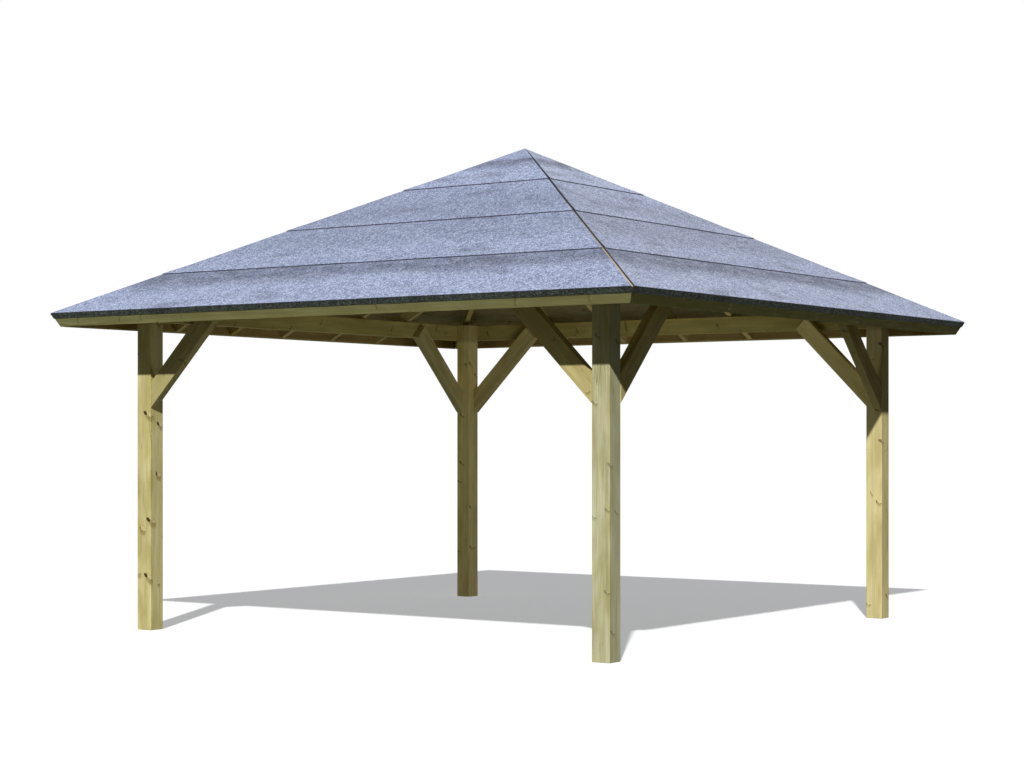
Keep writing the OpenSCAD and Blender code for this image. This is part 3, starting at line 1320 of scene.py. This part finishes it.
@dataclass(frozen=True)
class Smear:
    """A soft streak of dirt between two places on a slope, each given along the eaves and up."""

    start: tuple[float, float]
    end: tuple[float, float]
    width: float = 0.17
    soil: float = 0.55

    def at(self, along: float, up: float) -> float:
        """Finds how much dirt the streak leaves at a place.

        Args:
            along: Distance along the eaves from the slope's middle.
            up: Distance up the slope.

        Returns:
            The dirt, which thins out to nothing at the streak's width.
        """
        way = Vector(self.end) - Vector(self.start)
        arm = Vector((along, up)) - Vector(self.start)
        share = min(max(arm.dot(way) / way.length_squared, 0.0), 1.0)
        near = max(1 - (arm - way * share).length / self.width, 0.0)
        return self.soil * near * near * (3 - 2 * near)


@dataclass(frozen=True)
class FeltLook:
    """How one side's felt differs from the others': its tones, its edges along the hips and its dirt.

    Its edge stands past the boards' ends by overhang, or by apex_overhang at the apex, and creeps out a
    little more up the slope. Curl is how far the edge lifts.
    """

    tones: tuple[float, ...]
    tint: Tint
    overhang: float = 0.0
    apex_overhang: float = 0.0
    creep: float = 0.0
    curl: float = 0.0
    smears: tuple[Smear, ...] = ()


@dataclass(frozen=True)
class FeltWear:
    """What a sheet of felt tells its finish."""

    top: float = math.inf
    dirt: DirtLine = DirtLine()
    tint: Tint = (1.0, 1.0, 1.0)
    smears: tuple[Smear, ...] = ()
    plain: bool = False

    def below(self, up: float) -> float:
        """The distance down from the sheet's top, out of a lap's reach where no lap covers it."""
        return self.top - up if self.top < math.inf else 1.0

    def mark(self, bm: BMesh, up_axis: int, out: Vector) -> None:
        """Writes the attributes that the finish reads and sets which faces have granules.

        Args:
            bm: The sheet's mesh, in slope coordinates.
            up_axis: The coordinate that runs up its face.
            out: The direction that its granules face.
        """
        place = bm.verts.layers.float_vector.new("sheet")
        shade = bm.verts.layers.float_color.new("tint")
        tide = bm.verts.layers.float_vector.new("tide")
        soil = bm.verts.layers.float.new("soil")
        streak = bm.verts.layers.float.new("smear")
        for vert in bm.verts:
            up = vert.co[up_axis]
            vert[place] = Vector((vert.co.x, up, self.below(up)))
            vert[shade] = (*self.tint, 1.0)
            vert[tide] = Vector((self.dirt.below_top, self.dirt.falls, self.dirt.rises))
            vert[soil] = self.dirt.soil
            vert[streak] = max((smear.at(vert.co.x, up) for smear in self.smears), default=0.0)
        for face in bm.faces:
            face.material_index = 1 if self.plain or face.normal.dot(out) < FACING else 0


def felt_sheet(columns: int, rows: int, shape: Callable[[float, float], Vector], thickness: float,
               wear: FeltWear) -> BMesh:
    """Makes one sheet of felt that lies on the slope.

    Args:
        columns: Cells along the eaves.
        rows: Cells up the slope.
        shape: Gives the place of a point from its shares across, from the middle, and up.
        thickness: The sheet's thickness, below that place.
        wear: What its finish is told.

    Returns:
        The closed sheet.
    """
    bm = bmesh.new()
    bmesh.ops.create_grid(bm, x_segments=columns, y_segments=rows, size=0.5)
    for vert in bm.verts:
        vert.co = shape(vert.co.x, vert.co.y + 0.5)
    grown = bmesh.ops.extrude_face_region(bm, geom=list(bm.faces), use_keep_orig=True)["geom"]
    lower = [item for item in grown if isinstance(item, bmesh.types.BMVert)]
    bmesh.ops.translate(bm, verts=lower, vec=(0, 0, -thickness))
    bmesh.ops.remove_doubles(bm, verts=bm.verts, dist=MERGE_DISTANCE)
    bmesh.ops.recalc_face_normals(bm, faces=bm.faces)
    wear.mark(bm, 1, Vector((0, 0, 1)))
    return bm


@dataclass
class FeltCover:
    """Felt laid in lapped courses on an underlay."""

    nodes: dict[str, Object]
    finishes: Finishes
    slope: Slope
    underlay: float = 0.002
    sheet: float = 0.004
    lap_width: float = 0.08
    lap_drifts: tuple[float, ...] = (0.0, 0.006, -0.014)
    apex_reach: float = 0.3
    settle: float = 0.16
    cell: float = 0.05
    ripple: float = 0.0012
    ripple_cycles: Span = (9.0, 3.0)
    wobble: float = 0.0015
    wobble_cycles: float = 30.0
    side_seed: float = 17.0
    course_seed: float = 5.0
    ripple_seed: float = 0.3
    wobble_seed: float = 7.0
    dirt_lines: tuple[DirtLine, ...] = (
        DirtLine(soil=0.88, below_top=0.09, falls=0.21, rises=0.2),
        DirtLine(soil=0.32, below_top=0.24, falls=0.25, rises=1.0),
        DirtLine(soil=0.3, below_top=0.4, falls=0.3, rises=0.35),
        DirtLine(soil=0.9, below_top=0.215, falls=0.2, rises=0.02),
    )
    looks: dict[Side, FeltLook] = field(default_factory=lambda: {
        Side.FRONT: FeltLook(
            (1.0, 0.95, 0.905, 0.99), (0.97, 0.985, 1.045), overhang=0.003, apex_overhang=0.005, creep=0.009,
            smears=(Smear((0.0, 2.4), (0.0, 2.55), 0.2, 0.2),)),
        # The right side's lighter, greyer tint is partly its own felt and partly painted sheen for the light
        # that slope catches.
        Side.RIGHT: FeltLook(
            (1.07, 1.015, 1.08, 1.13), (1.08, 1.06, 1.06), overhang=-0.004, curl=0.002, smears=(
                Smear((0.0, 2.4), (0.0, 2.55), 0.2, 0.3), Smear((-0.69, 1.73), (-0.55, 1.5)),
                Smear((-0.55, 1.49), (0.5, 1.5), 0.15, 0.45), Smear((-1.14, 1.14), (-0.95, 0.95)),
                Smear((0.7, 1.12), (1.0, 1.06)))),
        Side.BACK: FeltLook((1.02, 1.0, 0.97, 1.04), (1.04, 1.03, 1.04), overhang=-0.005),
        Side.LEFT: FeltLook((1.0, 0.98, 0.94, 1.0), (0.99, 1.0, 1.04), overhang=-0.005),
    })

    @property
    def bed(self) -> float:
        """The height of a course's upper face over the boarding's underside."""
        return self.slope.boarding + self.underlay + self.sheet

    @property
    def crown(self) -> float:
        """The distance up the slope at which the four sides' felt meets over the apex."""
        return self.slope.length + self.bed * math.tan(self.slope.pitch)

    def half_at(self, side: Side, up: float) -> float:
        """Finds half a course's width.

        Args:
            side: The side, whose felt may hang over the boards' ends or stop short of them.
            up: Distance up the slope.

        Returns:
            The distance from the slope's middle to the felt's edge, which closes at the apex.
        """
        to_mitre = (self.crown - up) * math.cos(self.slope.pitch)
        near_apex = 1 - min(max((self.crown - up) / self.apex_reach, 0.0), 1.0)
        look = self.looks[side]
        past = look.apex_overhang * near_apex + look.overhang * (1 - near_apex)
        past += look.creep * (up / self.crown) ** 3
        return max(max(self.slope.half_at(up), 0.0) + min(past, to_mitre), 0.0)

    def build(self) -> None:
        """Builds all four sides."""
        for side in Side:
            self.side(side)

    def laps(self, side: Side) -> list[float]:
        """Finds where the courses start.

        Args:
            side: The side to read.

        Returns:
            Distances up the slope of the courses' lower edges, the eaves' first, each a little off its line.
        """
        back = self.slope.to_frame(side).inverted()
        points = [back @ vert.co for vert in self.nodes[f"felt_{side.word}"].data.vertices]
        crest = max(point.z for point in points) - self.sheet / 4
        edge = min(point.y for point in points)
        first = edge + self.lap_width
        raised = {round(point.y, 4) for point in points if point.z > crest and point.y > first}
        return [edge, *[lap + drift for lap, drift in zip(sorted(raised), self.lap_drifts)]]

    def side(self, side: Side) -> None:
        """Builds one side's courses as one piece.

        Args:
            side: The side that they cover.
        """
        starts = self.laps(side)
        whole = bmesh.new()
        ends = [*starts[1:], self.crown]
        self.base(whole, starts[0])
        for number, (low, high) in enumerate(zip(starts, ends)):
            self.course(whole, side, number, low, high, last=high == ends[-1])
        bmesh.ops.transform(whole, matrix=self.slope.to_frame(side), verts=whole.verts)
        materials = [self.finishes.felt, self.finishes.bitumen]
        piece(f"felt_courses_{side.word}", whole, materials, Slot.FELT, [f"felt_{side.word}"])

    def base(self, whole: BMesh, low: float) -> None:
        """Adds the underlay, a thin sheet over the whole slope.

        Args:
            whole: The side's mesh.
            low: Distance up the slope of its lower edge.
        """

        def flat(across: float, up: float) -> Vector:
            """Finds a place on the underlay's upper face.

            Args:
                across: Share of the slope's width from its middle.
                up: Share of its length from the lower edge.

            Returns:
                The place, in slope coordinates.
            """
            distance = low + up * (self.slope.length - low)
            width = 2 * self.slope.half_at(distance)
            return Vector((across * width, distance, self.slope.boarding + self.underlay))

        gathered(whole, felt_sheet(1, 1, flat, self.underlay, FeltWear(plain=True)))

    def course(self, whole: BMesh, side: Side, number: int, low: float, high: float, last: bool) -> None:
        """Adds one course, which lies over the one below and under the one above.

        Args:
            whole: The side's mesh.
            side: The side that it lies on.
            number: The course's number from the eaves.
            low: Distance up the slope of its lower edge.
            high: Distance up the slope of the next course's lower edge.
            last: Whether it ends at the apex.
        """
        top = high if last else high + self.lap_width
        raise_by = self.sheet if number else 0.0
        seed = Vector((side.value * self.side_seed, number * self.course_seed, 0.0))
        look = self.looks[side]
        wide, long = self.ripple_cycles

        def settled(across: float, up: float) -> Vector:
            """Finds a place on the course's upper face, which steps down from the lap and ripples a little.

            Args:
                across: Share of the course's width from its middle.
                up: Share of its height from its lower edge.

            Returns:
                The place, in slope coordinates.
            """
            distance = low + up * (top - low)
            wave = noise.noise(seed + Vector((across * wide, distance * long, self.ripple_seed)))
            stray = noise.noise(seed + Vector((across * self.wobble_cycles, 0.0, self.wobble_seed)))
            stray *= self.wobble
            drop = min(max((distance - low) / self.settle, 0.0), 1.0)
            lift = raise_by * (1 - drop * drop * (3 - 2 * drop))
            free = abs(wave) * self.ripple if distance < high - self.cell else 0.0
            along = across * 2 * self.half_at(side, distance)
            edge = distance + (stray if number and up == 0 else 0.0)
            flat = min(max((self.crown - distance) / self.apex_reach, 0.0), 1.0)
            curled = look.curl * flat if abs(across) == 0.5 else 0.0
            return Vector((along, edge, self.bed + lift + free + curled))

        columns = max(2, round(2 * self.half_at(side, low) / self.cell))
        rows = max(2, round((top - low) / self.cell))
        tint = tuple(look.tones[number] * part for part in look.tint)
        wear = FeltWear(high, self.dirt_lines[number], tint, look.smears)
        gathered(whole, felt_sheet(columns, rows, settled, self.sheet, wear))


@dataclass
class EavesSkirt:
    """A strip of dark felt turned down over the boarding's edge."""

    nodes: dict[str, Object]
    finishes: Finishes
    slope: Slope
    cell: float = 0.04
    hem: float = 0.0015
    loose_hem: float = 0.0055
    flare: float = 0.0008
    flare_cycles: float = 24.0
    side_seed: float = 11.0
    rows: int = 3

    def build(self) -> None:
        """Builds all four sides."""
        for side in Side:
            self.side(side)

    def side(self, side: Side) -> None:
        """Builds one side's strip, whose ends lean with the neighbouring sides' edges.

        Args:
            side: The side whose eaves it covers.
        """
        node = f"skirt_{side.word}"
        low, high = self.slope.span(self.nodes[node], side)
        thickness = high.y - low.y
        lapping = side in (Side.FRONT, Side.BACK)
        bm = bmesh.new()
        columns = round((high.x - low.x) / self.cell)
        bmesh.ops.create_grid(bm, x_segments=columns, y_segments=self.rows, size=0.5)
        seed = Vector((side.value * self.side_seed, 0.0, 0.0))
        for vert in bm.verts:
            across, up = vert.co.x, vert.co.y + 0.5
            wave = 0.5 + noise.noise(seed + Vector((across * self.flare_cycles, 0.0, 0.0)))
            height = low.z + up * (high.z - low.z)
            half = self.slope.reach(0.0 if lapping else -thickness, height)
            half += thickness * math.cos(self.slope.pitch) if lapping else 0.0
            hem = self.hem if lapping else self.loose_hem
            pressed = (1 - up) * (thickness - hem - wave * self.flare)
            vert.co = Vector((across * 2 * half, low.y + pressed, height))
        grown = bmesh.ops.extrude_face_region(bm, geom=list(bm.faces), use_keep_orig=True)["geom"]
        for item in grown:
            if isinstance(item, bmesh.types.BMVert):
                item.co.y = high.y
        bmesh.ops.recalc_face_normals(bm, faces=bm.faces)
        FeltWear().mark(bm, 2, Vector((0, -1, 0)))
        bmesh.ops.transform(bm, matrix=self.slope.to_frame(side), verts=bm.verts)
        piece(f"turned_{node}", bm, [self.finishes.skirt, self.finishes.bitumen], Slot.SKIRT, [node])


@dataclass
class Screws:
    """Countersunk screw heads where the frame is fixed together."""

    nodes: dict[str, Object]
    finishes: Finishes
    slope: Slope
    head: float = 0.009
    proud: float = 0.0006
    socket: float = 0.0042
    depth: float = 0.0015
    draft: float = 0.0002
    sides: int = 12
    pair_gap: float = 0.06
    foot_up: float = 0.07
    foot_gap: float = 0.03
    fascia_rows: Span = (0.3, 0.62)
    lap_in: float = 0.04
    lap_gap: float = 0.034

    def build(self) -> None:
        """Builds every head as one piece."""
        bm = bmesh.new()
        for place, out in self.spots():
            self.screw(bm, place, out)
        piece("screw_heads", bm, [self.finishes.screws], None)

    def spots(self) -> Iterator[tuple[Vector, Vector]]:
        """Works out where the screws are.

        Yields:
            Each head's middle and the direction that it faces.
        """
        for side in Side:
            yield from self.beam_spots(side)
            yield from self.fascia_spots(side)
            for step in (1, -1):
                yield from self.brace_spots(side, step)

    def beam_spots(self, side: Side) -> Iterator[tuple[Vector, Vector]]:
        """Finds the screws through a beam's outer face into its posts.

        Args:
            side: The beam's side.

        Yields:
            Each head's middle and the direction that it faces.
        """
        low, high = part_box("beam_front")
        post_low, post_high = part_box("post_front_right")
        post = (post_low.x + post_high.x) / 2
        for hand, across, up in itertools.product((1, -1), (-0.5, 0.5), (-0.5, 0.5)):
            x = hand * post + across * self.pair_gap
            z = (low.z + high.z) / 2 + up * self.pair_gap
            yield side.turn @ Vector((x, low.y, z)), side.turn @ Vector((0, -1, 0))

    def fascia_spots(self, side: Side) -> Iterator[tuple[Vector, Vector]]:
        """Finds the screws through a fascia board into the rafter tails.

        Args:
            side: The fascia's side.

        Yields:
            Each head's middle and the direction that it faces.
        """
        matrix = self.slope.to_frame(side)
        low, high = self.slope.span(self.nodes[f"fascia_{side.word}"], side)
        out = matrix.to_3x3() @ Vector((0, -1, 0))
        bm = copied(self.nodes[f"rafters_{side.word}"])
        back = side.turn.inverted()
        tails = [(back @ middle_of(verts)).x for verts in solids(bm)]
        bm.free()
        for x in tails:
            for up in self.fascia_rows:
                yield matrix @ Vector((x, low.y, low.z + up * (high.z - low.z))), out

    def brace_spots(self, side: Side, step: int) -> Iterator[tuple[Vector, Vector]]:
        """Finds the screws at a brace's head, into the beam, and at its foot, into the post.

        Args:
            side: The brace's side.
            step: 1 where its post is on the side's right, -1 on its left.

        Yields:
            Each head's middle and the direction that it faces.
        """
        node = self.nodes[f"brace_{side.word}_{side.beside(step).word}"]
        back = side.turn.inverted()
        points = [back @ vert.co for vert in node.data.vertices]
        inner = max(point.y for point in points)
        outer = min(point.y for point in points)
        along = Vector((-step, 0, 1)).normalized()
        under = Vector((-step, 0, -1)).normalized()
        tip = max(points, key=lambda point: point.dot(along) + point.dot(under))
        width = max(point.dot(under) for point in points) - min(point.dot(under) for point in points)
        for across in (-0.5, 0.5):
            head = tip - along * self.lap_in - under * (width / 2 + across * self.lap_gap)
            yield side.turn @ Vector((head.x, inner, head.z)), side.turn @ Vector((0, 1, 0))
        toe = max(points, key=lambda point: point.dot(under) - point.dot(along))
        for across in (-0.5, 0.5):
            foot = toe + along * self.foot_up
            middle = (inner + outer) / 2 + across * self.foot_gap
            yield side.turn @ Vector((foot.x, middle, foot.z)), side.turn @ under

    def screw(self, bm: BMesh, place: Vector, out: Vector) -> None:
        """Adds one head with a socket.

        Args:
            bm: The mesh that it is added to.
            place: The middle of the head.
            out: The direction that it faces.
        """
        stand = Matrix.Translation(place) @ out.to_track_quat("Z", "Y").to_matrix().to_4x4()
        made = bmesh.ops.create_cone(bm, cap_ends=True, segments=self.sides, radius1=self.head / 2,
                                     radius2=self.head / 2 - self.proud, depth=2 * self.proud, matrix=stand)
        faces = {face for vert in made["verts"] for face in vert.link_faces}
        crown = max(faces, key=lambda face: face.calc_center_median().dot(out))
        bmesh.ops.inset_region(bm, faces=[crown], thickness=(self.head - self.socket) / 2 - self.proud)
        bmesh.ops.inset_region(bm, faces=[crown], thickness=self.draft, depth=-self.depth)


@dataclass
class Studio:
    """Camera, sun, world and floor."""

    stand: Triple = (8.3095, -12.0907, 1.2920)
    turn: float = math.radians(34.86)
    lens: float = 74.86
    sensor: float = 36.0
    rise: float = 0.0506
    slide: float = 0.0004
    sun_towards: Triple = (0.387, -0.686, 0.616)
    sun_strength: float = 3.7
    sun_angle: float = math.radians(1.2)
    fill: Colour = (0.08, 0.084, 0.066, 1.0)
    fill_lean: Triple = (-0.8, 0.0, 0.0)
    inner_stand: Triple = (0.95, 0.0, 0.45)
    inner_aim: Triple = (-1.0, 0.6, 0.1)
    inner_power: float = 24.0
    inner_size: float = 1.4
    rear_towards: Triple = (-0.62, 0.72, 0.31)
    rear_strength: float = 1.6
    rear_angle: float = math.radians(16)
    floor_half: float = 60.0
    floor_glow: Colour = (0.373, 0.379, 0.4, 1.0)
    floor_seen: Colour = (0.8, 0.8, 0.8, 1.0)
    floor_bounce: Colour = (0.135, 0.14, 0.12, 1.0)
    bounce_fall: Triple = (0.13, 0.1, 0.0)
    bounce_least: float = 0.2

    def build(self) -> None:
        """Sets up the camera, the sun, the world and the floor."""
        scene = bpy.context.scene
        scene.view_settings.view_transform = "Standard"
        self.camera(scene)
        self.sun("sun", self.sun_towards, self.sun_strength, self.sun_angle)
        rear = self.sun("rear_fill", self.rear_towards, self.rear_strength, self.rear_angle)
        self.world(scene)
        self.spare(rear, [self.floor(scene)])

    def camera(self, scene: bpy.types.Scene) -> None:
        """Places the camera level, with its frame raised.

        Args:
            scene: The scene.
        """
        data = bpy.data.cameras.new("camera")
        data.lens, data.sensor_width = self.lens, self.sensor
        data.shift_x, data.shift_y = self.slide, self.rise
        made = bpy.data.objects.new("camera", data)
        made.location = self.stand
        made.rotation_euler = (math.pi / 2, 0, self.turn)
        scene.collection.objects.link(made)
        scene.camera = made

    @staticmethod
    def sun(name: str, towards: Triple, strength: float, angle: float) -> Object:
        """Hangs a sun lamp.

        Args:
            name: The lamp's name.
            towards: The direction that it shines from.
            strength: Its strength.
            angle: How wide it looks.

        Returns:
            The lamp.
        """
        data = bpy.data.lights.new(name, "SUN")
        data.energy, data.angle = strength, angle
        made = bpy.data.objects.new(name, data)
        made.rotation_mode = "QUATERNION"
        made.rotation_quaternion = Vector(towards).to_track_quat("Z", "Y")
        bpy.context.scene.collection.objects.link(made)
        return made

    @staticmethod
    def spare(lamp: Object, unlit: Iterable[Object]) -> None:
        """Keeps a lamp's light off some objects.

        Args:
            lamp: The lamp.
            unlit: The objects.
        """
        left_out = bpy.data.collections.new(f"not_lit_by_{lamp.name}")
        for item in unlit:
            left_out.objects.link(item)
        for member in left_out.collection_objects:
            member.light_linking.link_state = "EXCLUDE"
        lamp.light_linking.receiver_collection = left_out

    def inner_fill(self, unlit: list[Object]) -> None:
        """Hangs a soft lamp under the roof, in place of the light that a bright ground would send in.

        Args:
            unlit: The pieces that the lamp leaves alone, apart from the floor.
        """
        data = bpy.data.lights.new("inner_fill", "AREA")
        data.shape, data.size, data.energy = "DISK", self.inner_size, self.inner_power
        made = bpy.data.objects.new("inner_fill", data)
        made.location = self.inner_stand
        made.rotation_mode = "QUATERNION"
        made.rotation_quaternion = Vector(self.inner_aim).to_track_quat("-Z", "Y")
        made.visible_camera = made.visible_glossy = False
        bpy.context.scene.collection.objects.link(made)
        self.spare(made, [bpy.data.objects["floor"], *unlit])

    @staticmethod
    def seen(bench: NodeBench) -> Socket:
        """Masks the rays that look at the background, straight, mirrored or through glass.

        Args:
            bench: The bench of the tree that needs the mask.

        Returns:
            The mask.
        """
        path = bench.add("ShaderNodeLightPath").outputs
        sharp = bench.sums("MAXIMUM", path["Is Glossy Ray"], path["Is Transmission Ray"])
        return bench.sums("MAXIMUM", path["Is Camera Ray"], sharp)

    def world(self, scene: bpy.types.Scene) -> None:
        """Makes the world white to look at and, as light, a dim fill that is stronger from one side.

        Args:
            scene: The scene.
        """
        world = bpy.data.worlds.new("sky")
        world.use_nodes = True
        scene.world = world
        world.node_tree.nodes.clear()
        bench = NodeBench(world.node_tree)
        towards = bench.add("ShaderNodeTexCoord").outputs["Generated"]
        lean = bench.arrow("DOT_PRODUCT", towards, self.fill_lean).outputs["Value"]
        level = bench.sums("ADD", lean, 1.0)
        fill = bench.add("ShaderNodeBackground", {"Color": self.fill, "Strength": level})
        white = bench.add("ShaderNodeBackground", {"Color": WHITE, "Strength": 1.0})
        mix = bench.add("ShaderNodeMixShader", {0: self.seen(bench), 1: fill.outputs[0], 2: white.outputs[0]})
        bench.add("ShaderNodeOutputWorld", {"Surface": mix.outputs[0]})

    def floor(self, scene: bpy.types.Scene) -> Object:
        """Lays a floor that looks white and keeps the shadow.

        Args:
            scene: The scene.

        Returns:
            The floor, which sends back less light on one side.
        """
        bm = bmesh.new()
        bmesh.ops.create_grid(bm, x_segments=1, y_segments=1, size=self.floor_half)
        mesh = bpy.data.meshes.new("floor")
        bm.to_mesh(mesh)
        bm.free()
        material = bpy.data.materials.new("floor")
        material.use_nodes = True
        material.node_tree.nodes.clear()
        bench = NodeBench(material.node_tree)
        glow = bench.add("ShaderNodeEmission", {"Color": self.floor_glow, "Strength": 1.0})
        pale = bench.add("ShaderNodeBsdfDiffuse", {"Color": self.floor_seen})
        shown = bench.add("ShaderNodeAddShader", {0: glow.outputs[0], 1: pale.outputs[0]})
        place = bench.add("ShaderNodeTexCoord").outputs["Object"]
        aside = bench.arrow("DOT_PRODUCT", place, self.bounce_fall).outputs["Value"]
        kept = bench.step(aside, 0.0, 1.0, 1.0, self.bounce_least)
        sent = bench.blend(kept, BLACK, self.floor_bounce)
        bounce = bench.add("ShaderNodeBsdfDiffuse", {"Color": sent})
        shaders = {0: self.seen(bench), 1: bounce.outputs[0], 2: shown.outputs[0]}
        mix = bench.add("ShaderNodeMixShader", shaders)
        bench.add("ShaderNodeOutputMaterial", {"Surface": mix.outputs[0]})
        mesh.materials.append(material)
        made = bpy.data.objects.new("floor", mesh)
        scene.collection.objects.link(made)
        made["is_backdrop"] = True
        return made


def main() -> None:
    """Builds the object around the frame."""
    logging.basicConfig(level=logging.INFO, format="%(message)s")
    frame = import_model()
    cad_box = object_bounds()
    nodes = frame["nodes"]
    studio = Studio()
    studio.build()
    finishes = Finishes()
    slope = Slope.from_frame()
    PostFrame(nodes, finishes).build()
    RoofFrame(nodes, finishes, slope).build()
    boards = Boarding(finishes, slope).build()
    studio.inner_fill(boards)
    FeltCover(nodes, finishes, slope).build()
    EavesSkirt(nodes, finishes, slope).build()
    Screws(nodes, finishes, slope).build()
    boxes = {"cad": cad_box, "visual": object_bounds()}
    {name: [list(corner) for corner in box] for name, box in boxes.items()}


if __name__ == "__main__":
    main()
